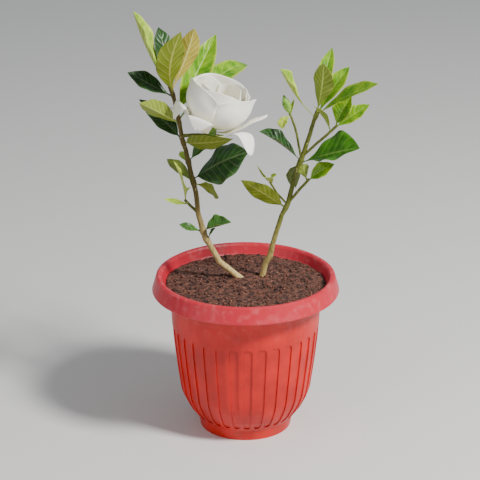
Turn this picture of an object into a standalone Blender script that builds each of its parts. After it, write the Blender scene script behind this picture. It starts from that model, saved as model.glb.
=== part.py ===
"""Potted gardenia: a double-flowered shrub on two stems in a ribbed plastic pot.

Metres, +Z up. The origin is the centre of the pot's foot, on the ground, and -Y is the front.
Lengths in the tables are millimetres and angles are degrees.
"""
import math

import bmesh
import bpy
import numpy as np
from mathutils import Matrix, Vector

MM = 0.001
GAP = 0.3                 # clearance between touching pieces
LEAF_THICKNESS = 0.5
PETAL_THICKNESS = 0.6

# Pot: outer radii and heights
POT_HEIGHT = 173.5
CREST_RADIUS = 93.3       # top of the rolled lip
LIP_RADIUS = 100.0        # lower edge of the lip's skirt
LIP_BOTTOM = 156.0
BODY_TOP_RADIUS = 82.0
BODY_TOP = 152.0
SHOULDER_RADIUS = 70.5    # where the straight body starts to curve in
SHOULDER = 45.0
FOOT_RADIUS = 49.5
FOOT_TOP_RADIUS = 51.3
FOOT_HEIGHT = 11.0
WALL = 2.4
FLOOR_UNDERSIDE = 5.0
PAD_RADIUS = 8.0          # centre pad, level with the foot ring
CHANNELS = 33             # flat channels sunk into the body
CHANNEL_ANGLE = 7.1
CHANNEL_DEPTH = 1.2
CHANNEL_BOTTOM = 16.0
CHANNEL_TOP = 118.0
DRAIN_HOLES = 4
DRAIN_RADIUS = 5.0
DRAIN_CIRCLE = 30.0
SOIL_EDGE = 163.0         # height of the soil at the wall
SOIL_MOUND = 166.0        # and in the middle

# Centre lines of the stems: x, y, z, radius
LEFT_STEM = [
    (1, 10, 138, 3.2), (0, 9, 151, 3.2), (-3, 7, 163, 3.3), (-28, 3, 186, 3.1), (-37, 1, 204, 3.0),
    (-43, 0, 215, 3.3), (-50, 0, 241, 2.7), (-52, 0, 264, 2.6), (-58, 0, 290, 2.5), (-62, 0, 310, 2.4),
    (-66, 0, 324, 2.3), (-69, 0, 343, 2.1), (-74, 0, 368, 1.9), (-78, 0, 381, 1.6)]
RIGHT_STEM = [
    (12, 12, 138, 3.1), (14, 11, 151, 3.1), (17, 10, 163, 3.2), (22, 8, 184, 2.9), (26, 7, 191, 3.1),
    (29, 6, 206, 2.7), (38, 6, 237, 2.5), (45, 7, 251, 2.6), (51, 8, 279, 2.4), (59, 8, 301, 2.5),
    (66, 8, 324, 2.2), (71, 8, 342, 2.0), (75, 8, 352, 1.8)]
# Side twigs, each starting inside the stem that it grew from
TWIGS = {
    "left_shoot": [(-51, 0, 243, 1.6), (-58, 0, 250, 1.5), (-64, 0, 257, 1.4)],
    "flower_stalk": [(-66, 0, 327, 1.9), (-55, -9, 331, 1.8), (-45, -16, 333, 1.8), (-38, -20, 334.4, 2.0)],
    "bud_twig": [(58, 8, 299, 1.2), (54, 4, 322, 1.2), (51, 2, 336, 1.2), (45, 0, 352, 1.1)],
    "cluster_twig": [(59, 8, 302, 1.4), (75, 3, 319, 1.4), (86, 0, 330, 1.4), (95, 0, 339, 1.4)],
    "lower_twig": [(45, 7, 251, 1.5), (56, 2, 267, 1.5), (66, -4, 281, 1.4)],
    "tuft_twig": [(44, 7, 249, 1.1), (33, 6, 262, 1.1), (25, 3, 276, 1.1)]}

# Leaves: carrier, height on it, tip, width, bow, sweep, roll, fold, twist, widest part
LEAVES = {
    "leaf_01": ("left", 378, (-114, 0, 459), 31, -4, 0, -10, 35, 0, 0.68),
    "leaf_02": ("left", 381, (-90, 25, 436), 24, 4, 0, 0, 15, 0, 0.57),
    "leaf_03": ("left", 373, (-65, -25, 444), 33, -2, 9, 10, 10, 0, 0.57),
    "leaf_04": ("left", 377, (-52, -15, 445), 24, 4, -3, -50, 15, 0, 0.57),
    "leaf_05": ("left", 353, (-31, 67, 418), 34, 0, 0, 34, 34, 0, 0.45),
    "leaf_06": ("left", 370, (-121, 0, 395), 22, 0, 0, -40, 18, 0, 0.57),
    "leaf_07": ("left", 341, (-106, -59, 380), 24, 2, 0, 51, 36, 0, 0.45),
    "leaf_08": ("left", 325, (-110, 5, 365), 24, 2, 0, -42, 18, 0, 0.45),
    "leaf_09": ("left", 345, (2, 87, 379), 26, 20, 0, 25, 15, 0, 0.57),
    "leaf_10": ("left", 320, (-13, -44, 338), 22, -3, 0, -58, 5, 0, 0.34),
    "leaf_11": ("left", 300, (-23, 5, 326), 22, 3, 0, 28, 34, 0, 0.5),
    "leaf_12": ("left", 280, (3, -25, 318), 50, 4, 0, 40, -8, 0, 0.52),
    "leaf_13": ("left", 278, (-81, -25, 310), 15, 2, 0, 51, 30, 0, 0.5),
    "leaf_14": ("left", 275, (-28, -30, 270), 20, 3, 0, -66, 5, 0, 0.6),
    "leaf_15": ("left_shoot", 257, (-74, -32, 310), 17, 2, 0, -60, 20, 0, 0.5),
    "leaf_16": ("left_shoot", 253, (-85, -21, 265), 7, -1, 0, -50, 20, 0, 0.5),
    "leaf_17": ("left_shoot", 256, (-58, 3, 270), 9, 2, 0, -20, 20, 0, 0.5),
    "leaf_18": ("left", 298, (-69, 18, 304), 8, 2, 0, -30, 20, 0, 0.5),
    "leaf_19": ("left", 222, (-70, -5, 231), 9, 1, 0, -50, 15, 0, 0.6),
    "leaf_20": ("left", 223, (-15, -12, 236), 26, 0, 0, 24, 44, 0, 0.42),
    "leaf_21": ("left", 212, (-32, -5, 227), 7, 1, 0, 40, 20, 0, 0.6),
    "leaf_22": ("right", 246, (-5, -30, 289), 20, 1, 0, 56, 4, 0, 0.45),
    "leaf_23": ("tuft_twig", 276, (12, -5, 297), 7, -2, 0, 0, 25, 0, 0.45),
    "leaf_24": ("tuft_twig", 272, (19, -32, 292), 11, 2, 0, 0, 25, 0, 0.5),
    "leaf_25": ("tuft_twig", 274, (33, 0, 285), 10, 2, 0, 30, 20, 0, 0.5),
    "leaf_26": ("right", 298, (14, -10, 335), 29, 2, 0, -22, 32, 0, 0.57),
    "leaf_27": ("bud_twig", 350, (50, 5, 366), 4, 0, 0, 0, 25, 0, 0.5),
    "leaf_28": ("bud_twig", 349, (38, -8, 337), 13, 2, 2, 0, 15, 0, 0.55),
    "leaf_29": ("right", 345, (35, -12, 402), 22, -3, 0, -14, 42, -30, 0.76),
    "leaf_30": ("right", 351, (79, -10, 407), 25, 3, 0, -50, 15, 0, 0.57),
    "leaf_31": ("right", 350, (91, 57, 406), 18, 3, 0, 0, 20, 0, 0.57),
    "leaf_32": ("right", 348, (107, 18, 396), 20, 4, 0, 42, 20, 0, 0.6),
    "leaf_33": ("right", 348, (133, -39, 394), 23, 4, 0, 36, 20, 0, 0.6),
    "leaf_34": ("cluster_twig", 338, (109, 0, 370), 25, 2, 0, 45, 18, 0, 0.5),
    "leaf_35": ("cluster_twig", 337, (128, 6, 359), 19, 1, 0, 38, 18, 0, 0.5),
    "leaf_36": ("cluster_twig", 332, (70, -12, 362), 8, 4, 0, 20, 20, 0, 0.5),
    "leaf_37": ("right", 296, (117, -20, 320), 49, 2, 0, 25, 24, 0, 0.62),
    "leaf_38": ("lower_twig", 280, (92, -5, 298), 19, 2, 0, 42, 18, 0, 0.5),
    "leaf_39": ("lower_twig", 279, (60, -8, 299), 13, 2, 0, 60, 18, 0, 0.6),
    "leaf_40": ("right", 293, (47, 20, 267), 13, 4, 0, 0, 15, 0, 0.5),
    "leaf_41": ("right", 289, (53, 22, 262), 9, 4, 0, 0, 15, 0, 0.5)}

# Flower: the base of the cup, the way it faces, and the egg-shaped cup's half width and half height
FLOWER_BASE = (-36, -20, 343)
FLOWER_AXIS = (0.28, 0.02, 0.96)
CUP_RADIUS = 34.0
CUP_HALF_HEIGHT = 31.0
CUP_FIRST_ANGLE = 12.0
CUP_TILT = 0.05           # each petal's one edge lies outside its neighbour's
# Cup petals: size of the layer, azimuth, half angle, angle at the rim
CUP_PETALS = {
    "petal_01": (1.00, 205, 62, 118), "petal_02": (1.00, 325, 62, 112), "petal_03": (1.00, 85, 62, 122),
    "petal_04": (0.84, 265, 58, 120), "petal_05": (0.84, 25, 58, 124), "petal_06": (0.84, 145, 58, 128),
    "petal_07": (0.68, 210, 66, 126), "petal_08": (0.68, 30, 66, 130)}
# Spreading petals: layer size, azimuth, angle where they leave the cup, tip radius and height, width, widest
SPREAD_PETALS = {
    "petal_09": (1.12, 200, 60, 42, 3, 27, 0.65), "petal_10": (1.20, 249, 55, 42, 5, 28, 0.65),
    "petal_11": (1.22, 328, 45, 54, -8, 25, 0.75), "petal_12": (1.12, 354, 50, 52, 30, 21, 0.6),
    "petal_13": (1.12, 165, 40, 54, -2, 14, 0.6)}
PETAL_REACH = 17.0        # how far a spreading petal keeps on before it bends over
CALYX = [(8.3, -6.2), (7.3, -3.0), (6.3, 0.0), (5.1, 5.0), (4.0, 10.4), (2.6, 14.0)]
BUD = [(1.2, 0.0), (2.6, 2.5), (4.0, 6.5), (4.1, 10.0), (3.0, 14.0), (1.9, 17.0), (0.9, 20.0)]
BUD_BASE = (44.7, 0, 352.6)
BUD_AXIS = (-0.3, -0.15, 0.94)


def material(name, colour, roughness):
    """A plain Principled material."""
    made = bpy.data.materials.new(name)
    made.use_nodes = True
    shader = made.node_tree.nodes["Principled BSDF"]
    shader.inputs["Base Color"].default_value = (*colour, 1.0)
    shader.inputs["Roughness"].default_value = roughness
    made.diffuse_color = (*colour, 1.0)
    return made


def place(name, bm, surface, collection):
    """Turn a bmesh in millimetres into a smooth-shaded object in metres."""
    bmesh.ops.scale(bm, vec=(MM, MM, MM), verts=bm.verts)
    mesh = bpy.data.meshes.new(name)
    bm.to_mesh(mesh)
    bm.free()
    made = bpy.data.objects.new(name, mesh)
    mesh.materials.append(surface)
    mesh.shade_smooth()
    collection.objects.link(made)
    return made


def cutter(made):
    made.hide_render = True
    made.display_type = "WIRE"
    return made


def boolean(target, tool, operation):
    step = target.modifiers.new(operation.lower(), "BOOLEAN")
    step.operation = operation
    step.solver = "EXACT"
    step.object = tool


def turned(name, profile, steps, surface, collection, phase=0.0):
    """Spin a profile (radius, height) about Z; it runs from the top to the bottom."""
    bm = bmesh.new()
    ring = [bm.verts.new((r * math.cos(phase), r * math.sin(phase), z)) for r, z in profile]
    for a, b in zip(ring, ring[1:]):
        bm.edges.new((a, b))
    made = place(name, bm, surface, collection)
    spin = made.modifiers.new("spin", "SCREW")
    spin.steps = steps
    spin.render_steps = steps
    spin.use_merge_vertices = True
    spin.merge_threshold = 0.00001
    spin.use_normal_calculate = False
    return made


def tube(name, points, surface, collection, extra=0.0):
    """A round rod along a line of (x, y, z, radius), as a mesh."""
    line = bpy.data.curves.new(name, "CURVE")
    line.dimensions = "3D"
    line.bevel_depth = MM
    line.bevel_resolution = 2
    line.use_fill_caps = True
    run = line.splines.new("POLY")
    run.points.add(len(points) - 1)
    for point, (x, y, z, radius) in zip(run.points, points):
        point.co = (x * MM, y * MM, z * MM, 1.0)
        point.radius = radius + extra
    rod = bpy.data.objects.new(name + "_line", line)
    collection.objects.link(rod)
    bpy.context.view_layer.update()
    solid = rod.evaluated_get(bpy.context.evaluated_depsgraph_get())
    mesh = bpy.data.meshes.new_from_object(solid)
    bm = bmesh.new()
    bm.from_mesh(mesh)
    bmesh.ops.remove_doubles(bm, verts=bm.verts, dist=0.000001)
    bm.to_mesh(mesh)
    bm.free()
    made = bpy.data.objects.new(name, mesh)
    made.matrix_world = rod.matrix_world.copy()
    mesh.materials.clear()
    mesh.materials.append(surface)
    mesh.shade_smooth()
    collection.objects.link(made)
    bpy.data.objects.remove(rod)
    return made


def stem_at(points, height):
    """Centre, direction and radius of a stem at a height."""
    for low, high in zip(points, points[1:]):
        if low[2] <= height <= high[2]:
            break
    part = (height - low[2]) / (high[2] - low[2])
    centre = Vector(low[:3]).lerp(Vector(high[:3]), part)
    along = (Vector(high[:3]) - Vector(low[:3])).normalized()
    return centre, along, low[3] + part * (high[3] - low[3])


def blade_point(s, v, base, tip, width, bow, sweep, roll, fold, twist, widest):
    """A leaf's surface: s runs from the stalk to the tip, v across from -1 to 1."""
    chord = tip - base
    run = chord.normalized()
    up = (Vector((0, 0, 1)) - run * run.z).normalized()
    side = run.cross(up)
    lift = up * math.cos(math.radians(roll)) + side * math.sin(math.radians(roll))
    lean = run.cross(lift)
    spine = base + chord * s + lift * (4 * bow * s * (1 - s)) + lean * (4 * sweep * s * (1 - s))
    along = (chord + (lift * bow + lean * sweep) * (4 - 8 * s)).normalized()
    angle = math.radians(roll + twist * s)
    normal = up * math.cos(angle) + side * math.sin(angle)
    normal = (normal - along * normal.dot(along)).normalized()
    across = along.cross(normal)
    grown = max(0.0, (s - 0.07) / 0.93)
    belly = math.sin(math.pi * grown ** (math.log(0.5) / math.log(widest)))
    half = max(0.9 if s < 0.5 else 0.55, 0.5 * width * max(0.0, belly) ** 0.95)
    turn = math.radians(fold)
    cup = math.sqrt(v * v + 0.01) - 0.1
    return spine + across * (v * half * math.cos(turn)) + normal * (cup * half * math.sin(turn))


FLOWER = Vector(FLOWER_BASE)
FACING = Vector(FLOWER_AXIS).normalized()
RIGHT = (Vector((1, 0, 0)) - FACING * FACING.x).normalized()
BACK = FACING.cross(RIGHT)


def cup_point(s, v, layer, azimuth, half_angle, top_angle):
    """A cup petal's surface: an egg-shaped patch that closes over the middle."""
    rim = top_angle * (1 - 0.16 * abs(v) ** 2.5)
    polar = math.radians(CUP_FIRST_ANGLE + (rim - CUP_FIRST_ANGLE) * s)
    size = layer + CUP_TILT * v
    spread = 0.6 + 0.4 * math.sin(math.pi / 2 * min(1.0, s / 0.5))
    turn = math.radians(azimuth + v * half_angle * spread)
    radius = CUP_RADIUS * size * math.sin(polar) + 3.0 * layer * max(0.0, (s - 0.8) / 0.2) ** 2
    height = CUP_HALF_HEIGHT * (1 - size * math.cos(polar))
    return FLOWER + (RIGHT * math.cos(turn) + BACK * math.sin(turn)) * radius + FACING * height


def spread_point(s, v, layer, azimuth, knee, tip_radius, tip_height, width, widest):
    """A spreading petal: it follows the cup up to the knee angle and then bends over outwards."""
    polar = math.radians(CUP_FIRST_ANGLE + (knee - CUP_FIRST_ANGLE) * min(1.0, s / 0.45))
    radius = CUP_RADIUS * layer * math.sin(polar)
    height = CUP_HALF_HEIGHT * (1 - layer * math.cos(polar))
    if s > 0.45:
        part = (s - 0.45) / 0.55
        on_r = radius + PETAL_REACH * math.cos(polar)
        on_h = height + PETAL_REACH * math.sin(polar)
        radius = (1 - part) ** 2 * radius + 2 * part * (1 - part) * on_r + part * part * tip_radius
        height = (1 - part) ** 2 * height + 2 * part * (1 - part) * on_h + part * part * tip_height
    turn = math.radians(azimuth)
    out = RIGHT * math.cos(turn) + BACK * math.sin(turn)
    belly = math.sin(math.pi * s ** (math.log(0.5) / math.log(widest)))
    half = max(2.2, 0.5 * width * max(0.0, belly) ** 0.6)
    return FLOWER + out * radius + FACING * height + FACING.cross(out) * (v * half)


def sheet(name, rows, columns, thickness, surface, collection, point):
    """A blade or petal: a grid carried onto a formula and given its thickness by Solidify."""
    bm = bmesh.new()
    bmesh.ops.create_grid(bm, x_segments=rows, y_segments=columns, size=1.0)
    for vertex in bm.verts:
        vertex.co = point((vertex.co.x + 1) / 2, vertex.co.y)
    made = place(name, bm, surface, collection)
    shell = made.modifiers.new("thickness", "SOLIDIFY")
    shell.thickness = thickness * MM
    shell.offset = 0.0
    return made


for old in list(bpy.data.objects):
    bpy.data.objects.remove(old)
plant = bpy.data.collections.new("potted_gardenia")
tools = bpy.data.collections.new("cutters")
bpy.context.scene.collection.children.link(plant)
bpy.context.scene.collection.children.link(tools)

red_plastic = material("red plastic", (0.62, 0.03, 0.02), 0.42)
peat = material("peat soil", (0.09, 0.045, 0.025), 0.95)
left_bark = material("young bark", (0.30, 0.23, 0.08), 0.7)
right_bark = material("green bark", (0.20, 0.22, 0.05), 0.65)
leaf_green = material("gardenia leaf", (0.10, 0.25, 0.04), 0.35)
petal_white = material("gardenia petal", (0.90, 0.87, 0.75), 0.55)
calyx_green = material("calyx", (0.24, 0.38, 0.08), 0.5)

# Pot: body, rolled lip, foot ring and centre pad in one moulding
body = [
    (BODY_TOP_RADIUS, BODY_TOP), (80.3, 141.0), (79.2, 120.0), (77.5, 100.0), (75.5, 82.0), (73.5, 66.0),
    (71.8, 54.0), (SHOULDER_RADIUS, SHOULDER), (68.3, 38.0), (65.0, 31.0), (61.3, 24.0), (56.0, 17.0),
    (FOOT_TOP_RADIUS, FOOT_HEIGHT)]
inside = [(r - WALL, z) for r, z in reversed(body)]
floor_top = FLOOR_UNDERSIDE + WALL
profile = (
    [(0.0, floor_top), (46.0, floor_top)] + inside
    + [(86.2, SOIL_EDGE), (89.0, 171.0), (90.6, 173.0), (CREST_RADIUS, POT_HEIGHT), (95.6, 172.0)]
    + [(LIP_RADIUS, LIP_BOTTOM + 1.0), (LIP_RADIUS - 0.5, LIP_BOTTOM), (LIP_RADIUS - 1.8, LIP_BOTTOM + 0.6)]
    + [(93.6, 170.0), (91.4, 170.2), (88.8, 163.6)] + body
    + [(FOOT_RADIUS, 0.0), (FOOT_RADIUS - 2.5, 0.0), (FOOT_RADIUS - 3.5, FLOOR_UNDERSIDE)]
    + [(PAD_RADIUS + 1.5, FLOOR_UNDERSIDE), (PAD_RADIUS, 0.0), (0.0, 0.0)])
front = math.radians(-90 + 1.6)
pot = turned("pot", profile, 2 * CHANNELS, red_plastic, plant, front)


def body_radius(height):
    for high, low in zip(body, body[1:]):
        if low[1] <= height <= high[1]:
            return low[0] + (high[0] - low[0]) * (height - low[1]) / (high[1] - low[1])
    return body[-1][0]


bm = bmesh.new()
levels = [CHANNEL_BOTTOM, 18.5, 24.0, 31.0, 38.0, 45.0, 54.0, 82.0, 100.0, CHANNEL_TOP - 3.0, CHANNEL_TOP]
narrow = [0.62, 1.0, 1.0, 1.0, 1.0, 1.0, 1.0, 1.0, 1.0, 1.0, 0.62]
for index in range(CHANNELS):
    middle = front + 2 * math.pi * index / CHANNELS
    rings = []
    for height, share in zip(levels, narrow):
        half = math.radians(CHANNEL_ANGLE / 2) * share
        deep = body_radius(height) - CHANNEL_DEPTH
        corners = [(deep, -half), (deep + 4.0, -half), (deep + 4.0, half), (deep, half)]
        ring = [bm.verts.new((r * math.cos(middle + a), r * math.sin(middle + a), height)) for r, a in corners]
        rings.append(ring)
    for below, above in zip(rings, rings[1:]):
        for k in range(4):
            j = (k + 1) % 4
            bm.faces.new((below[k], below[j], above[j], above[k]))
    bm.faces.new(rings[0][::-1])
    bm.faces.new(rings[-1])
boolean(pot, cutter(place("channel_cutters", bm, red_plastic, tools)), "DIFFERENCE")

bm = bmesh.new()
for index in range(DRAIN_HOLES):
    turn = math.radians(45) + 2 * math.pi * index / DRAIN_HOLES
    spot = Matrix.Translation((DRAIN_CIRCLE * math.cos(turn), DRAIN_CIRCLE * math.sin(turn), 6.0))
    bmesh.ops.create_cone(
        bm, cap_ends=True, segments=16, radius1=DRAIN_RADIUS, radius2=DRAIN_RADIUS, depth=8.0, matrix=spot)
boolean(pot, cutter(place("drain_cutters", bm, red_plastic, tools)), "DIFFERENCE")

# Soil: fills the pot, with a socket round each stem
fill = [(r - GAP - 0.1, z) for r, z in reversed(inside)]
soil_profile = (
    [(0.0, SOIL_MOUND), (25.0, SOIL_MOUND - 0.3), (50.0, SOIL_MOUND - 1.4), (72.0, SOIL_MOUND - 2.2)]
    + [(86.2 - GAP - 0.5, SOIL_EDGE - 0.4)] + fill + [(45.5, floor_top + GAP), (0.0, floor_top + GAP)])
soil = turned("soil", soil_profile, 32, peat, plant)
for name, points in (("left_socket", LEFT_STEM), ("right_socket", RIGHT_STEM)):
    foot = (*points[0][:2], points[0][2] - GAP, points[0][3])
    boolean(soil, cutter(tube(name, [foot] + points[1:5], peat, tools, GAP + 0.15)), "DIFFERENCE")

# Stems, each with its side twigs grown on
left_stem = tube("left_stem", LEFT_STEM, left_bark, plant)
right_stem = tube("right_stem", RIGHT_STEM, right_bark, plant)
for name, points in TWIGS.items():
    stem = left_stem if name in ("left_shoot", "flower_stalk") else right_stem
    boolean(stem, cutter(tube(name, points, right_bark, tools)), "UNION")

# Leaves, each seated on the stem or twig that it grew from
carriers = {"left": LEFT_STEM, "right": RIGHT_STEM, **TWIGS}
for name, (carrier, height, tip, width, *shape) in LEAVES.items():
    centre, along, radius = stem_at(carriers[carrier], height)
    aim = Vector(tip) - centre
    aim = (aim - along * aim.dot(along)).normalized()
    base = centre + aim * (radius + GAP + 0.7 * LEAF_THICKNESS)
    rows = 8 if width > 10 else 6
    columns = 4 if width > 10 else 2
    sheet(name, rows, columns, LEAF_THICKNESS, leaf_green, plant,
          lambda s, v: blade_point(s, v, base, Vector(tip), width, *shape))

# Flower: calyx, cup petals in layers and the outer petals that have bent over
stand = Matrix((RIGHT, BACK, FACING)).transposed().to_4x4()
calyx = turned("calyx", [(0.0, 14.5)] + CALYX[::-1] + [(0.0, -6.2)], 16, calyx_green, plant)
calyx.matrix_world = Matrix.Translation(FLOWER * MM) @ stand
for name, shape in CUP_PETALS.items():
    sheet(name, 6, 6, PETAL_THICKNESS, petal_white, plant, lambda s, v: cup_point(s, v, *shape))
for name, shape in SPREAD_PETALS.items():
    sheet(name, 8, 4, PETAL_THICKNESS, petal_white, plant, lambda s, v: spread_point(s, v, *shape))

# Flower bud, furled, on its twig
bud = turned("flower_bud", [(0.0, 20.5)] + BUD[::-1] + [(0.0, 0.0)], 12, calyx_green, plant)
bud_axis = Vector(BUD_AXIS).normalized()
bud_turn = Vector((0, 0, 1)).rotation_difference(bud_axis).to_matrix().to_4x4()
bud.matrix_world = Matrix.Translation(Vector(BUD_BASE) * MM) @ bud_turn
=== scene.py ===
"""Potted gardenia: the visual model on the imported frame, with its camera, light and materials."""

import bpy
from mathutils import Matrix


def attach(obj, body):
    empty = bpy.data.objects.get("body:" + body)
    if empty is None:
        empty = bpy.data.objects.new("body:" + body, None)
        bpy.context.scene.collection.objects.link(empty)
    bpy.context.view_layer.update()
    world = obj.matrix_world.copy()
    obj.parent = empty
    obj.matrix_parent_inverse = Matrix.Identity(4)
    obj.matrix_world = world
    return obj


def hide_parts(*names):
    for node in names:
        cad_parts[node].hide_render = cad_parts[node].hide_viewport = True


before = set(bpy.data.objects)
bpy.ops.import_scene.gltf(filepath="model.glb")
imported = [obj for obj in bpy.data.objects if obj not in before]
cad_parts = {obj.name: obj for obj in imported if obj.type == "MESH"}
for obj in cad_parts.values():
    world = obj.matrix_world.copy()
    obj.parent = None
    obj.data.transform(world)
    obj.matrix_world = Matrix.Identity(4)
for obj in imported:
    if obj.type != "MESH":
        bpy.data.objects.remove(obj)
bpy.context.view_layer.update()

import math

import bpy
import numpy as np

MM = 0.001


# Camera: at the height of a person looking down on the pot, in front of it.
camera = bpy.data.objects.new("camera", bpy.data.cameras.new("camera"))
camera.location = (-0.006, -1.80, 0.90)
camera.rotation_euler = (math.radians(69.07), 0, 0)
camera.data.lens = 136.5
bpy.context.scene.collection.objects.link(camera)
bpy.context.scene.camera = camera

# Floor and light: a plain pale ground, a soft high sun from the right and an even sky.


def linear(code):
    """An sRGB hex colour as linear RGBA."""
    parts = [int(code[i:i + 2], 16) / 255 for i in (1, 3, 5)]
    bent = [c / 12.92 if c <= 0.04045 else ((c + 0.055) / 1.055) ** 2.4 for c in parts]
    return (*bent, 1.0)


def add(tree, kind, inputs=None, **settings):
    """Adds one shader node with its settings, and sets or links its inputs."""
    made = tree.nodes.new(kind)
    for key, value in settings.items():
        setattr(made, key, value)
    for socket, value in (inputs or {}).items():
        if isinstance(value, bpy.types.NodeSocket):
            tree.links.new(value, made.inputs[socket])
        else:
            made.inputs[socket].default_value = value
    return made


def blank(name):
    """A material with an empty tree but its output and Principled shader."""
    made = bpy.data.materials.new(name)
    made.use_nodes = True
    return made, made.node_tree, made.node_tree.nodes["Principled BSDF"]


floor_mesh = bpy.data.meshes.new("floor")
floor_mesh.from_pydata([(-3, -3, 0), (3, -3, 0), (3, 3, 0), (-3, 3, 0)], [], [(0, 1, 2, 3)])
floor = bpy.data.objects.new("floor", floor_mesh)
bpy.context.scene.collection.objects.link(floor)
pale, tree, shader = blank("pale floor")
shader.inputs["Base Color"].default_value = linear("#D8D6D2")
shader.inputs["Roughness"].default_value = 0.9
floor_mesh.materials.append(pale)
LAMPS = (("sun_right", (1.3, -0.9, 1.7), 84, 0.4), ("fill_left", (-1.6, -1.4, 1.2), 12, 1.6))   # watts, metres
for name, place, power, size in LAMPS:
    lamp = bpy.data.objects.new(name, bpy.data.lights.new(name, "AREA"))
    lamp.data.energy = power
    lamp.data.size = size
    lamp.location = place
    aim = np.array((0, 0, 0.25)) - np.array(place)
    flat = math.hypot(aim[0], aim[1])
    lamp.rotation_euler = (math.atan2(flat, -aim[2]), 0, math.atan2(-aim[0], aim[1]))
    bpy.context.scene.collection.objects.link(lamp)
sky = bpy.data.worlds.new("sky")
sky.use_nodes = True
sky.node_tree.nodes["Background"].inputs[0].default_value = linear("#E8EEF6")
sky.node_tree.nodes["Background"].inputs[1].default_value = 0.42
bpy.context.scene.world = sky

# Pot: an injection-moulded polypropylene nursery pot, IOR 1.49, satin.
# The body is a saturated red, and the rolled lip is faded and dusty from the sun.


def mix(tree, factor, first, second):
    """The blend of two colours, each a socket or an RGBA value."""
    made = add(tree, "ShaderNodeMix", {0: factor}, data_type="RGBA")
    for index, value in ((6, first), (7, second)):
        if isinstance(value, bpy.types.NodeSocket):
            tree.links.new(value, made.inputs[index])
        else:
            made.inputs[index].default_value = value
    return made.outputs[2]


def fade(tree, value, low, high, start=0.0, end=1.0):
    """Start to end as the value goes from low to high, clamped."""
    sockets = {"Value": value, "From Min": low, "From Max": high, "To Min": start, "To Max": end}
    return add(tree, "ShaderNodeMapRange", sockets).outputs[0]


def maths(tree, operation, first, second=0.0, third=0.0):
    """One Math node's result."""
    made = add(tree, "ShaderNodeMath", {0: first, 1: second, 2: third}, operation=operation)
    return made.outputs[0]


def noise(tree, vector, size_mm, detail=4.0):
    """Noise whose largest blotches are about size_mm across, from coordinates in metres."""
    sockets = {"Vector": vector, "Scale": 1000 / size_mm, "Detail": detail}
    return add(tree, "ShaderNodeTexNoise", sockets).outputs[0]


plastic, tree, shader = blank("red polypropylene")
place = add(tree, "ShaderNodeTexCoord").outputs["Object"]
height = add(tree, "ShaderNodeSeparateXYZ", {0: place}).outputs[2]
cloud = noise(tree, place, 28)
grain = noise(tree, place, 1.2, 6)
tint = mix(tree, fade(tree, cloud, 0.35, 0.7), linear("#D01004"), linear("#B00C03"))
tint = mix(tree, fade(tree, height, 0.150, 0.158), tint, linear("#BE1E30"))
dusty = fade(tree, noise(tree, place, 9, 8), 0.5, 0.85)
dust = maths(tree, "MULTIPLY", dusty, fade(tree, height, 0.12, 0.174, 0.0, 0.28))
tint = mix(tree, dust, tint, linear("#E0A8A0"))
muddy = fade(tree, noise(tree, place, 6, 8), 0.45, 0.7)
splash = maths(tree, "MULTIPLY", fade(tree, height, 0.04, 0.0, 0.0, 0.35), muddy)
tint = mix(tree, splash, tint, linear("#8A4A38"))
tree.links.new(tint, shader.inputs["Base Color"])
tree.links.new(fade(tree, grain, 0.2, 0.8, 0.34, 0.5), shader.inputs["Roughness"])
shader.inputs["IOR"].default_value = 1.49
bump = add(tree, "ShaderNodeBump", {"Height": grain, "Strength": 0.12, "Distance": 0.0004})
tree.links.new(bump.outputs[0], shader.inputs["Normal"])
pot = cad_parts["pot"]
pot.data.materials.clear()
pot.data.materials.append(plastic)

# Soil: a peat and bark mix, matte and crumbly, filled in by hand and heaped a little in the middle.
# Crumbs of about 1 to 4 mm lie on it.


def piece(name, points, faces, surface, uv=None, under=None):
    """A mesh object in metres from points in millimetres and quads, smooth shaded, riding on the root."""
    mesh = bpy.data.meshes.new(name)
    mesh.from_pydata((points * MM).tolist(), [], faces)
    if uv is not None:
        layer = mesh.uv_layers.new(name="UVMap")
        corner = np.empty(len(mesh.loops), dtype=np.int32)
        mesh.loops.foreach_get("vertex_index", corner)
        layer.data.foreach_set("uv", uv[corner].astype(np.float32).ravel())
    if under is not None:
        mesh.attributes.new("under", "FLOAT", "POINT").data.foreach_set("value", under.astype(np.float32))
    mesh.materials.append(surface)
    mesh.shade_smooth()
    made = bpy.data.objects.new(name, mesh)
    bpy.context.scene.collection.objects.link(made)
    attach(made, "root")
    return made


def round_faces(rows, columns, offset=0):
    """Quads of a grid whose columns close on themselves, and an end face on its first and last rows."""
    i, j = np.meshgrid(np.arange(rows - 1), np.arange(columns), indexing="ij")
    k = (j + 1) % columns
    quads = np.stack([i * columns + j, i * columns + k, (i + 1) * columns + k, (i + 1) * columns + j], -1)
    faces = (quads.reshape(-1, 4) + offset).tolist()
    faces.append([offset + c for c in range(columns)][::-1])
    faces.append([offset + (rows - 1) * columns + c for c in range(columns)])
    return faces


rng = np.random.default_rng(7)
peat, tree, shader = blank("peat and bark mix")
place = add(tree, "ShaderNodeTexCoord").outputs["Object"]
tint = mix(tree, fade(tree, noise(tree, place, 5, 8), 0.35, 0.65), linear("#1E100A"), linear("#6A4030"))
tint = mix(tree, fade(tree, noise(tree, place, 2.2, 3), 0.62, 0.72), tint, linear("#B07A68"))
tree.links.new(tint, shader.inputs["Base Color"])
shader.inputs["Roughness"].default_value = 0.92
rough = add(tree, "ShaderNodeBump", {"Height": noise(tree, place, 1.5, 8), "Strength": 0.8, "Distance": 0.001})
tree.links.new(rough.outputs[0], shader.inputs["Normal"])
waves = rng.normal(size=(26, 2)) * np.linspace(0.04, 0.75, 26)[:, None]
shifts = rng.uniform(0, 2 * np.pi, 26)


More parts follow.
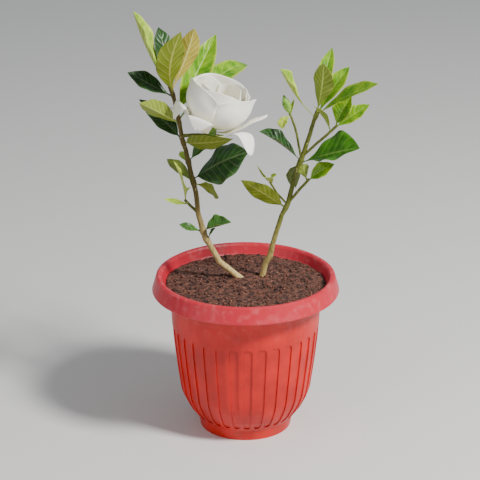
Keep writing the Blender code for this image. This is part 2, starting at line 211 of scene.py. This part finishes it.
def soil_height(x, y):
    """The mound: 166 mm in the middle falling to 163 at the wall, plus waves of 8 to 150 mm."""
    parts = [np.sin(a * x + b * y + c) * 0.9 / (1 + 9 * math.hypot(a, b)) for (a, b), c in zip(waves, shifts)]
    lumps = sum(parts)
    return 165.7 - 2.9 * np.minimum(1, np.hypot(x, y) / 85) ** 2 + 0.75 * lumps


radius = np.concatenate([np.linspace(0.5, 85.3, 90), [85.3, 60.0]])
turn = np.linspace(0, 2 * np.pi, 260, endpoint=False)
rr, tt = np.meshgrid(radius, turn, indexing="ij")
xx, yy = rr * np.cos(tt), rr * np.sin(tt)
zz = soil_height(xx, yy)
zz[-2:] = 155.0
faces = [face[::-1] for face in round_faces(len(radius), len(turn))]
bed = piece("soil_bed", np.stack([xx, yy, zz], -1).reshape(-1, 3), faces, peat)
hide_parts("soil")
count = 1500
g = (1 + 5 ** 0.5) / 2
ico = np.array([(-1, g, 0), (1, g, 0), (-1, -g, 0), (1, -g, 0),
                (0, -1, g), (0, 1, g), (0, -1, -g), (0, 1, -g),
                (g, 0, -1), (g, 0, 1), (-g, 0, -1), (-g, 0, 1)]) / 1.9
ico_faces = np.array([(0, 11, 5), (0, 5, 1), (0, 1, 7), (0, 7, 10), (0, 10, 11), (1, 5, 9), (5, 11, 4),
                      (11, 10, 2), (10, 7, 6), (7, 1, 8), (3, 9, 4), (3, 4, 2), (3, 2, 6), (3, 6, 8),
                      (3, 8, 9), (4, 9, 5),
                      (2, 4, 11), (6, 2, 10), (8, 6, 7), (9, 8, 1)])
far = 83 * np.sqrt(rng.uniform(0, 1, count))
spin = rng.uniform(0, 2 * np.pi, count)
size = 0.5 + 1.6 * rng.uniform(0, 1, count) ** 3
cx, cy = far * np.cos(spin), far * np.sin(spin)
shape = ico[None] * (size[:, None] * rng.uniform(0.6, 1.35, (count, 12)))[..., None]
shape *= rng.uniform(0.6, 1.4, (count, 1, 3))
centre = np.stack([cx, cy, soil_height(cx, cy) + 0.25 * size], -1)
faces = (ico_faces[None] + 12 * np.arange(count)[:, None, None]).reshape(-1, 3).tolist()
piece("soil_crumbs", (shape + centre[:, None]).reshape(-1, 3), faces, peat)

# Stems: two young woody stems with their side twigs grown on, tan and corky below and green above.
# Each row is x, y, z and radius in mm.
LEFT_STEM = [
    (1, 10, 138, 3.2), (0, 9, 151, 3.2), (-3, 7, 163, 3.3), (-28, 3, 186, 3.1), (-37, 1, 204, 3.0),
    (-43, 0, 215, 3.3), (-50, 0, 241, 2.7), (-52, 0, 264, 2.6), (-58, 0, 290, 2.5), (-62, 0, 310, 2.4),
    (-66, 0, 324, 2.3), (-69, 0, 343, 2.1), (-74, 0, 368, 1.9), (-78, 0, 381, 1.6)]
RIGHT_STEM = [
    (12, 12, 138, 3.1), (14, 11, 151, 3.1), (17, 10, 163, 3.2), (22, 8, 184, 2.9), (26, 7, 191, 3.1),
    (29, 6, 206, 2.7), (38, 6, 237, 2.5), (45, 7, 251, 2.6), (51, 8, 279, 2.4), (59, 8, 301, 2.5),
    (66, 8, 324, 2.2), (71, 8, 342, 2.0), (75, 8, 352, 1.8)]
TWIGS = {
    "left_shoot": [(-51, 0, 243, 1.6), (-58, 0, 250, 1.5), (-64, 0, 257, 1.4)],
    "flower_stalk": [(-66, 0, 327, 1.9), (-55, -9, 331, 1.8), (-45, -16, 333, 1.8), (-38, -20, 334.4, 2.0)],
    "bud_twig": [(58, 8, 299, 1.2), (54, 4, 322, 1.2), (51, 2, 336, 1.2), (45, 0, 352, 1.1)],
    "cluster_twig": [(59, 8, 302, 1.4), (75, 3, 319, 1.4), (86, 0, 330, 1.4), (95, 0, 339, 1.4)],
    "lower_twig": [(45, 7, 251, 1.5), (56, 2, 267, 1.5), (66, -4, 281, 1.4)],
    "tuft_twig": [(44, 7, 249, 1.1), (33, 6, 262, 1.1), (25, 3, 276, 1.1)]}


def bark(name, low, high, low_z, high_z):
    """Bark with fine lengthwise cracks and pale lenticels 2 mm long, its colour changing with height."""
    made, tree, shader = blank(name)
    place = add(tree, "ShaderNodeTexCoord").outputs["Object"]
    height = add(tree, "ShaderNodeSeparateXYZ", {0: place}).outputs[2]
    tall = add(tree, "ShaderNodeMapping", {"Vector": place, "Scale": (1, 1, 0.22)}).outputs[0]
    crack = noise(tree, tall, 1.4, 6)
    tint = mix(tree, fade(tree, height, low_z, high_z), linear(low), linear(high))
    tint = mix(tree, fade(tree, crack, 0.5, 0.66, 0, 0.55), tint, linear("#4A3412"))
    tint = mix(tree, fade(tree, noise(tree, place, 3, 2), 0.66, 0.72, 0, 0.6), tint, linear("#E0CC96"))
    tree.links.new(tint, shader.inputs["Base Color"])
    shader.inputs["Roughness"].default_value = 0.7
    bump = add(tree, "ShaderNodeBump", {"Height": crack, "Strength": 0.5, "Distance": 0.0005})
    tree.links.new(bump.outputs[0], shader.inputs["Normal"])
    return made


def rod(points, knots, seed):
    """A stem's surface: a circle of the interpolated radius along the line, swollen at each leaf's knot."""
    line = np.array(points, float)
    place = np.concatenate([[0], np.cumsum(np.linalg.norm(np.diff(line[:, :3], axis=0), axis=1))])
    rows, columns = max(24, int(place[-1] / 0.9)), 20
    t = np.linspace(0, place[-1], rows)
    full = np.stack([np.interp(t, place, line[:, k]) for k in range(4)], -1)
    along = np.gradient(full[:, :3], axis=0)
    along /= np.linalg.norm(along, axis=1, keepdims=True)
    side = np.cross(along, (0, 1, 0))
    side /= np.linalg.norm(side, axis=1, keepdims=True)
    other = np.cross(along, side)
    turn = np.linspace(0, 2 * np.pi, columns, endpoint=False)
    swell = np.zeros(rows)
    for knot in knots:
        swell = swell + 0.55 * np.exp(-((full[:, 2] - knot) / 2.2) ** 2)
    wobble = 0.09 * np.sin(3 * turn[None] + t[:, None] * 0.31 + seed)
    wobble = wobble + 0.06 * np.sin(5 * turn[None] - t[:, None] * 0.7)
    radius = full[:, 3, None] + np.minimum(swell, 0.7)[:, None] + wobble
    ring = side[:, None] * np.cos(turn)[None, :, None] + other[:, None] * np.sin(turn)[None, :, None]
    return (full[:, None, :3] + ring * radius[..., None]).reshape(-1, 3), rows, columns


# Leaves: thin living blades with a midrib and side veins, each grown on a short stalk from its stem.
# Carrier, height on it, tip, width, bow, sweep, roll, fold, twist, widest part; mm and degrees.
LEAVES = {
    "leaf_01": ("left", 378, (-114, 0, 459), 31, -4, 0, -10, 35, 0, 0.68),
    "leaf_02": ("left", 381, (-90, 25, 436), 24, 4, 0, 0, 15, 0, 0.57),
    "leaf_03": ("left", 373, (-65, -25, 444), 33, -2, 9, 10, 10, 0, 0.57),
    "leaf_04": ("left", 377, (-52, -15, 445), 24, 4, -3, -50, 15, 0, 0.57),
    "leaf_05": ("left", 353, (-31, 67, 418), 34, 0, 0, 34, 34, 0, 0.45),
    "leaf_06": ("left", 370, (-121, 0, 395), 22, 0, 0, -40, 18, 0, 0.57),
    "leaf_07": ("left", 341, (-106, -59, 380), 24, 2, 0, 51, 36, 0, 0.45),
    "leaf_08": ("left", 325, (-110, 5, 365), 24, 2, 0, -42, 18, 0, 0.45),
    "leaf_09": ("left", 345, (2, 87, 379), 26, 20, 0, 25, 15, 0, 0.57),
    "leaf_10": ("left", 320, (-13, -44, 338), 22, -3, 0, -58, 5, 0, 0.34),
    "leaf_11": ("left", 300, (-23, 5, 326), 22, 3, 0, 28, 34, 0, 0.5),
    "leaf_12": ("left", 280, (3, -25, 318), 50, 4, 0, 40, -8, 0, 0.52),
    "leaf_13": ("left", 278, (-81, -25, 310), 15, 2, 0, 51, 30, 0, 0.5),
    "leaf_14": ("left", 275, (-28, -30, 270), 20, 3, 0, -66, 5, 0, 0.6),
    "leaf_15": ("left_shoot", 257, (-74, -32, 310), 17, 2, 0, -60, 20, 0, 0.5),
    "leaf_16": ("left_shoot", 253, (-85, -21, 265), 7, -1, 0, -50, 20, 0, 0.5),
    "leaf_17": ("left_shoot", 256, (-58, 3, 270), 9, 2, 0, -20, 20, 0, 0.5),
    "leaf_18": ("left", 298, (-69, 18, 304), 8, 2, 0, -30, 20, 0, 0.5),
    "leaf_19": ("left", 222, (-70, -5, 231), 9, 1, 0, -50, 15, 0, 0.6),
    "leaf_20": ("left", 223, (-15, -12, 236), 26, 0, 0, 24, 44, 0, 0.42),
    "leaf_21": ("left", 212, (-32, -5, 227), 7, 1, 0, 40, 20, 0, 0.6),
    "leaf_22": ("right", 246, (-5, -30, 289), 20, 1, 0, 56, 4, 0, 0.45),
    "leaf_23": ("tuft_twig", 276, (12, -5, 297), 7, -2, 0, 0, 25, 0, 0.45),
    "leaf_24": ("tuft_twig", 272, (19, -32, 292), 11, 2, 0, 0, 25, 0, 0.5),
    "leaf_25": ("tuft_twig", 274, (33, 0, 285), 10, 2, 0, 30, 20, 0, 0.5),
    "leaf_26": ("right", 298, (14, -10, 335), 29, 2, 0, -22, 32, 0, 0.57),
    "leaf_27": ("bud_twig", 350, (50, 5, 366), 4, 0, 0, 0, 25, 0, 0.5),
    "leaf_28": ("bud_twig", 349, (38, -8, 337), 13, 2, 2, 0, 15, 0, 0.55),
    "leaf_29": ("right", 345, (35, -12, 402), 22, -3, 0, -14, 42, -30, 0.76),
    "leaf_30": ("right", 351, (79, -10, 407), 25, 3, 0, -50, 15, 0, 0.57),
    "leaf_31": ("right", 350, (91, 57, 406), 18, 3, 0, 0, 20, 0, 0.57),
    "leaf_32": ("right", 348, (107, 18, 396), 20, 4, 0, 42, 20, 0, 0.6),
    "leaf_33": ("right", 348, (133, -39, 394), 23, 4, 0, 36, 20, 0, 0.6),
    "leaf_34": ("cluster_twig", 338, (109, 0, 370), 25, 2, 0, 45, 18, 0, 0.5),
    "leaf_35": ("cluster_twig", 337, (128, 6, 359), 19, 1, 0, 38, 18, 0, 0.5),
    "leaf_36": ("cluster_twig", 332, (70, -12, 362), 8, 4, 0, 20, 20, 0, 0.5),
    "leaf_37": ("right", 296, (117, -20, 320), 49, 2, 0, 25, 24, 0, 0.62),
    "leaf_38": ("lower_twig", 280, (92, -5, 298), 19, 2, 0, 42, 18, 0, 0.5),
    "leaf_39": ("lower_twig", 279, (60, -8, 299), 13, 2, 0, 60, 18, 0, 0.6),
    "leaf_40": ("right", 293, (47, 20, 267), 13, 4, 0, 0, 15, 0, 0.5),
    "leaf_41": ("right", 289, (53, 22, 262), 9, 4, 0, 0, 15, 0, 0.5)}

tan_bark = bark("corky bark", "#D2B878", "#5E5018", 0.165, 0.255)
green_bark = bark("green bark", "#C8AE6A", "#5C6410", 0.165, 0.235)
groups = {
    "left_stem": ["left_shoot", "flower_stalk"],
    "right_stem": ["bud_twig", "cluster_twig", "lower_twig", "tuft_twig"]}
mains = (("left_stem", LEFT_STEM, tan_bark, "left"), ("right_stem", RIGHT_STEM, green_bark, "right"))
for stem, main, surface, side in mains:
    knots = sorted({row[1] for row in LEAVES.values() if row[0] == side})
    points, rows, columns = rod(main, knots, 1.0)
    made = piece(stem + "_wood", points, round_faces(rows, columns), surface)
    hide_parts(stem)
    for twig in groups[stem]:
        points, rows, columns = rod(TWIGS[twig], [], 2.0)
        made = piece(twig + "_wood", points, round_faces(rows, columns), green_bark)
        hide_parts(stem)


VEINS = 9.0
VEIN_SLANT = 1.7
LEAF_THICKNESS = 0.5


def sheet(name, grid, thickness, surface):
    """A closed sheet: a grid of points moved half its thickness each way along its own normal."""
    rows, columns = grid.shape[:2]
    normal = np.cross(np.gradient(grid, axis=0), np.gradient(grid, axis=1))
    normal /= np.linalg.norm(normal, axis=2, keepdims=True) + 1e-12
    s, v = np.meshgrid(np.linspace(0, 1, rows), np.linspace(0, 1, columns), indexing="ij")
    half = 0.5 * thickness * (1 - 0.6 * np.abs(2 * v - 1) ** 4)[..., None]
    points = np.concatenate([(grid + normal * half).reshape(-1, 3), (grid - normal * half).reshape(-1, 3)])
    i, j = np.meshgrid(np.arange(rows - 1), np.arange(columns - 1), indexing="ij")
    here, below = i * columns + j, (i + 1) * columns + j
    quads = np.stack([here, below, below + 1, here + 1], -1)
    quads = quads.reshape(-1, 4)
    size = rows * columns
    index = np.arange(size).reshape(rows, columns)
    edge = np.concatenate([index[0, :-1], index[:-1, -1], index[-1, :0:-1], index[:0:-1, 0]])
    rim = np.stack([edge, np.roll(edge, -1), np.roll(edge, -1) + size, edge + size], -1)
    faces = np.concatenate([quads, quads[:, ::-1] + size, rim]).tolist()
    uv = np.tile(np.stack([s.ravel(), v.ravel()], -1), (2, 1))
    return piece(name, points, faces, surface, uv, np.repeat([0.0, 1.0], size))


def unit(vector):
    """Vectors of length one, along the last axis."""
    return vector / np.linalg.norm(vector, axis=-1, keepdims=True)


def leaf_skin(name, deep, light, vein, edge, under):
    """Living leaf, waxy, IOR 1.45, with a matte, paler underside.

    The midrib and side veins come from the UV map, and the blotches are 12 mm across.
    """
    made, tree, shader = blank(name)
    coords = add(tree, "ShaderNodeTexCoord")
    place = coords.outputs["Object"]
    uv = add(tree, "ShaderNodeSeparateXYZ", {0: coords.outputs["UV"]})
    out = maths(tree, "ABSOLUTE", maths(tree, "MULTIPLY_ADD", uv.outputs[1], 2.0, -1.0))
    steps = maths(tree, "MULTIPLY", uv.outputs[0], VEINS)
    phase = maths(tree, "SUBTRACT", steps, maths(tree, "MULTIPLY", out, VEIN_SLANT))
    gap = maths(tree, "PINGPONG", phase, 0.5)
    lateral = fade(tree, gap, 0.0, 0.10, 0.75, 0.0)
    midrib = fade(tree, out, 0.03, 0.09, 1.0, 0.0)
    line = maths(tree, "MAXIMUM", midrib, lateral)
    tint = mix(tree, fade(tree, noise(tree, place, 12, 3), 0.35, 0.65), linear(deep), linear(light))
    tint = mix(tree, fade(tree, out, 0.75, 1.0, 0.0, 0.55), tint, linear(edge))
    tint = mix(tree, maths(tree, "MULTIPLY", line, 0.4), tint, linear(vein))
    spots = fade(tree, noise(tree, place, 4, 2), 0.74, 0.78, 0.0, 0.5)
    tint = mix(tree, spots, tint, linear("#6A4A14"))
    back = mix(tree, line, linear(under), linear(vein))
    below = add(tree, "ShaderNodeAttribute", attribute_name="under").outputs["Fac"]
    tint = mix(tree, below, tint, back)
    tree.links.new(tint, shader.inputs["Base Color"])
    tree.links.new(fade(tree, below, 0, 1, 0.30, 0.55), shader.inputs["Roughness"])
    shader.inputs["IOR"].default_value = 1.45
    fine = maths(tree, "MULTIPLY_ADD", noise(tree, place, 1.1, 3), 0.35, maths(tree, "MULTIPLY", line, -0.5))
    bump = add(tree, "ShaderNodeBump", {"Height": fine, "Strength": 0.45, "Distance": 0.0006})
    tree.links.new(bump.outputs[0], shader.inputs["Normal"])
    through = add(tree, "ShaderNodeBsdfTranslucent", {"Color": tint})
    blend = add(tree, "ShaderNodeMixShader", {0: 0.22, 1: shader.outputs[0], 2: through.outputs[0]})
    tree.links.new(blend.outputs[0], tree.nodes["Material Output"].inputs[0])
    return made


skins = {
    # The dark copy is partly the deeper green of old leaves and partly painted shade, for leaves that hang in
    # shade.
    "dark": leaf_skin("old gardenia leaf in painted shade", "#17350F", "#2C5A1E", "#8FA070", "#4A6A30", "#5E6A28"),
    "deep": leaf_skin("full green gardenia leaf", "#2A5A08", "#3F7810", "#8AA850", "#5A8A30", "#6C7A28"),
    "bright": leaf_skin("young gardenia leaf", "#4F8A10", "#8AB810", "#CFE070", "#E0E850", "#8A9A30"),
    "pale": leaf_skin("new gardenia leaf", "#8AB430", "#C8DC48", "#E6EE90", "#EEF070", "#A8B848"),
    # The olive copy is partly the duller tone of a leaf's underside and partly painted shade, for leaves whose
    # undersides face the camera in shade.
    "olive": leaf_skin("olive gardenia leaf in painted shade", "#4E6A06", "#7E9A10", "#A8A850", "#90A020", "#728010"),
    "yellow": leaf_skin("yellowing gardenia leaf", "#C8C020", "#E2DA3A", "#F0EC90", "#D8B830", "#C0B040")}
kinds = {}
for kind, numbers in (("dark", (2, 6, 8, 12, 26)), ("olive", (3, 10, 14, 22)), ("yellow", (4,)),
                      ("pale", (1, 15, 16, 17, 18, 23, 24, 25, 27, 28, 29)),
                      ("bright", (5, 7, 9, 30, 31, 32, 33, 34, 35, 36, 38, 39))):
    kinds.update({"leaf_%02d" % number: kind for number in numbers})


def leaf_grid(points, height, tip, width, bow, sweep, roll, fold, twist, widest, seed):
    """A leaf blade: halves folded up from a bowed midrib.

    It is puffed up between the side veins, and its edge lies in waves.
    """
    line = np.array(points, float)
    centre = np.array([np.interp(height, line[:, 2], line[:, k]) for k in range(3)])
    radius = np.interp(height, line[:, 2], line[:, 3])
    low = np.searchsorted(line[:, 2], height) - 1
    trunk = unit(line[low + 1, :3] - line[low, :3])
    tip = np.array(tip, float)
    aim = unit((tip - centre) - trunk * ((tip - centre) @ trunk))
    base = centre + aim * radius * 0.7
    chord = tip - base
    run = unit(chord)
    up = unit(np.array((0, 0, 1.0)) - run * run[2])
    side = np.cross(run, up)
    lift = up * math.cos(math.radians(roll)) + side * math.sin(math.radians(roll))
    lean = np.cross(run, lift)
    rows, columns = (72, 29) if width > 15 else (44, 17)
    s, v = np.meshgrid(np.linspace(0, 1, rows), np.linspace(-1, 1, columns), indexing="ij")
    s1 = s[..., None]
    spine = base + chord * s1 + (lift * bow + lean * sweep) * 4 * s1 * (1 - s1)
    along = unit(chord + (lift * bow + lean * sweep) * (4 - 8 * s1))
    angle = np.radians(roll + twist * s1)
    normal = up * np.cos(angle) + side * np.sin(angle)
    normal = unit(normal - along * (normal * along).sum(-1, keepdims=True))
    across = np.cross(along, normal)
    grown = np.clip((s - 0.07) / 0.93, 0, 1)
    belly = np.maximum(0, np.sin(np.pi * grown ** (math.log(0.5) / math.log(widest)))) ** 0.95
    half = np.maximum(np.where(s < 0.5, 0.9, 0.35), 0.5 * width * belly)
    turn = math.radians(fold)
    cup = np.sqrt(v * v + 0.01) - 0.1
    puff = 0.5 - np.abs((VEINS * s - VEIN_SLANT * np.abs(v)) % 1.0 - 0.5)
    raised = 0.030 * half * (puff * 2) ** 0.6 * (1 - np.abs(v) ** 6) * np.minimum(1, np.abs(v) * 8)
    wave = 0.075 * half * v * v * np.sin(2 * np.pi * (3.1 * s + 0.37 * seed) + 1.3 * np.sign(v))
    rise = (cup * half * math.sin(turn) + raised + wave)[..., None]
    return spine + across * (v * half * math.cos(turn))[..., None] + normal * rise


carriers = {"left": LEFT_STEM, "right": RIGHT_STEM, **TWIGS}
for seed, (name, (carrier, *row)) in enumerate(LEAVES.items()):
    grid = leaf_grid(carriers[carrier], *row, seed)
    made = sheet(name + "_blade", grid[:, ::-1], LEAF_THICKNESS, skins[kinds.get(name, "deep")])
    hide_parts(name)

# Flower: fleshy cream petals, grown in layers round an egg-shaped cup, the outer ones bent over.
# Lengths are in mm and angles in degrees.
FLOWER = np.array((-36, -20, 343.0))
FACING = unit(np.array((0.28, 0.02, 0.96)))
RIGHT = unit(np.array((1.0, 0, 0)) - FACING * FACING[0])
BACK = np.cross(FACING, RIGHT)
CUP_RADIUS = 34            # the cup's half width and half height
CUP_HALF_HEIGHT = 31
FIRST_ANGLE = 12           # where the petals start on the calyx
KNEE = 0.45                # the part of a spreading petal that follows the cup
PETAL_REACH = 17
PETAL_THICKNESS = 0.6
CUP_PETALS = {
    "petal_01": (1.00, 205, 62, 118), "petal_02": (1.00, 325, 62, 112), "petal_03": (1.00, 85, 62, 122),
    "petal_04": (0.84, 265, 58, 120), "petal_05": (0.84, 25, 58, 124), "petal_06": (0.84, 145, 58, 128),
    "petal_07": (0.68, 210, 66, 126), "petal_08": (0.68, 30, 66, 130)}
SPREAD_PETALS = {
    "petal_09": (1.12, 200, 60, 42, 3, 27, 0.65), "petal_10": (1.20, 249, 55, 42, 5, 28, 0.65),
    "petal_11": (1.22, 328, 45, 54, -8, 25, 0.75), "petal_12": (1.12, 354, 50, 52, 30, 21, 0.6),
    "petal_13": (1.12, 165, 40, 54, -2, 14, 0.6)}
cream, tree, shader = blank("gardenia petal")
coords = add(tree, "ShaderNodeTexCoord")
uv = add(tree, "ShaderNodeSeparateXYZ", {0: coords.outputs["UV"]})
stretched = add(tree, "ShaderNodeMapping", {"Vector": coords.outputs["UV"], "Scale": (1.5, 26, 1)}).outputs[0]
streak = add(tree, "ShaderNodeTexNoise", {"Vector": stretched, "Scale": 1.0, "Detail": 3.0}).outputs[0]
# Painted shade: each petal turns a warmer, darker yellow towards its base, where the cup's centre lies in
# shadow, and keeps its cream towards the tip.
tint = mix(tree, fade(tree, uv.outputs[0], 0.0, 0.45), linear("#E6DDA0"), linear("#FBF7EA"))
tint = mix(tree, fade(tree, streak, 0.5, 0.75, 0.0, 0.35), tint, linear("#EAE4CC"))
tree.links.new(tint, shader.inputs["Base Color"])
shader.inputs["Roughness"].default_value = 0.5
shader.inputs["Subsurface Weight"].default_value = 0.25
shader.inputs["Subsurface Radius"].default_value = (0.004, 0.003, 0.0015)
bump = add(tree, "ShaderNodeBump", {"Height": streak, "Strength": 0.25, "Distance": 0.0006})
tree.links.new(bump.outputs[0], shader.inputs["Normal"])
s, v = np.meshgrid(np.linspace(0, 1, 56), np.linspace(-1, 1, 49), indexing="ij")
for seed, (name, (layer, azimuth, half_angle, top_angle)) in enumerate(CUP_PETALS.items()):
    rim = top_angle * (1 - 0.16 * np.abs(v) ** 2.5)
    polar = np.radians(FIRST_ANGLE + (rim - FIRST_ANGLE) * s)
    size = layer + 0.05 * v + 0.006 * np.sin(6 * v + 4 * s + seed) * s
    turn = np.radians(azimuth + v * half_angle * (0.6 + 0.4 * np.sin(np.pi / 2 * np.minimum(1, s / 0.5))))
    ruffle = 0.9 * np.sin(7 * v + seed * 2.1) * np.clip((s - 0.7) / 0.3, 0, 1) ** 2
    reach = CUP_RADIUS * size * np.sin(polar) + 3 * layer * np.maximum(0, (s - 0.8) / 0.2) ** 2 + ruffle
    rise = CUP_HALF_HEIGHT * (1 - size * np.cos(polar))
    flat = RIGHT * np.cos(turn)[..., None] + BACK * np.sin(turn)[..., None]
    points = FLOWER + flat * reach[..., None] + FACING * rise[..., None]
    made = sheet(name + "_blade", points, PETAL_THICKNESS, cream)
    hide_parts(name)
s, v = np.meshgrid(np.linspace(0, 1, 64), np.linspace(-1, 1, 33), indexing="ij")
for seed, (name, row) in enumerate(SPREAD_PETALS.items()):
    layer, azimuth, knee, tip_radius, tip_height, width, widest = row
    polar = np.radians(FIRST_ANGLE + (knee - FIRST_ANGLE) * np.minimum(1, s / KNEE))
    radius = CUP_RADIUS * layer * np.sin(polar)
    height = CUP_HALF_HEIGHT * (1 - layer * np.cos(polar))
    part = np.clip((s - KNEE) / (1 - KNEE), 0, 1)
    on_r = radius + PETAL_REACH * np.cos(polar)
    on_h = height + PETAL_REACH * np.sin(polar)
    radius = (1 - part) ** 2 * radius + 2 * part * (1 - part) * on_r + part ** 2 * tip_radius
    height = (1 - part) ** 2 * height + 2 * part * (1 - part) * on_h + part ** 2 * tip_height
    turn = math.radians(azimuth)
    out = RIGHT * math.cos(turn) + BACK * math.sin(turn)
    belly = np.maximum(0, np.sin(np.pi * s ** (math.log(0.5) / math.log(widest)))) ** 0.6
    half = np.maximum(np.where(s < 0.5, 2.2, 0.6), 0.5 * width * belly)
    height = height - 1.6 * v * v * part + 0.5 * np.sin(5 * s * np.pi + seed) * v * v
    points = FLOWER + out * radius[..., None] + FACING * height[..., None]
    points = points + np.cross(FACING, out) * (v * half)[..., None]
    made = sheet(name + "_blade", points, PETAL_THICKNESS, cream)
    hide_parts(name)

# Calyx and bud: green and waxy; the bud is furled in a spiral of three visible petals.
green, tree, shader = blank("calyx green")
place = add(tree, "ShaderNodeTexCoord").outputs["Object"]
tint = mix(tree, fade(tree, noise(tree, place, 5, 3), 0.35, 0.65), linear("#5C8A22"), linear("#86B044"))
tree.links.new(tint, shader.inputs["Base Color"])
shader.inputs["Roughness"].default_value = 0.42
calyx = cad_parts["calyx"]
calyx.data.materials.clear()
calyx.data.materials.append(green)
heights = np.array([-0.8, 0, 2.5, 6.5, 10, 14, 17, 19.5, 20.5])
widths = np.array([0.9, 1.3, 2.8, 4.1, 4.2, 3.1, 1.9, 1.0, 0.35])
t = np.linspace(-0.8, 20.5, 60)
turn = np.linspace(0, 2 * np.pi, 36, endpoint=False)
tt, rr = np.meshgrid(t, turn, indexing="ij")
furl = 1 + 0.11 * np.abs(np.sin(1.5 * (rr - 0.16 * tt))) * np.clip((tt - 4) / 6, 0, 1)
wide = np.interp(t, heights, widths)[:, None] * furl
axis = unit(np.array((-0.3, -0.15, 0.94)))
flat = unit(np.array((1.0, 0, 0)) - axis * axis[0])
deep = np.cross(axis, flat)
ring = flat * np.cos(rr)[..., None] + deep * np.sin(rr)[..., None]
points = np.array((44.7, 0, 352.6)) + axis * tt[..., None] + ring * wide[..., None]
made = piece("bud_furled", points.reshape(-1, 3), round_faces(60, 36), green)
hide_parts("flower_bud")
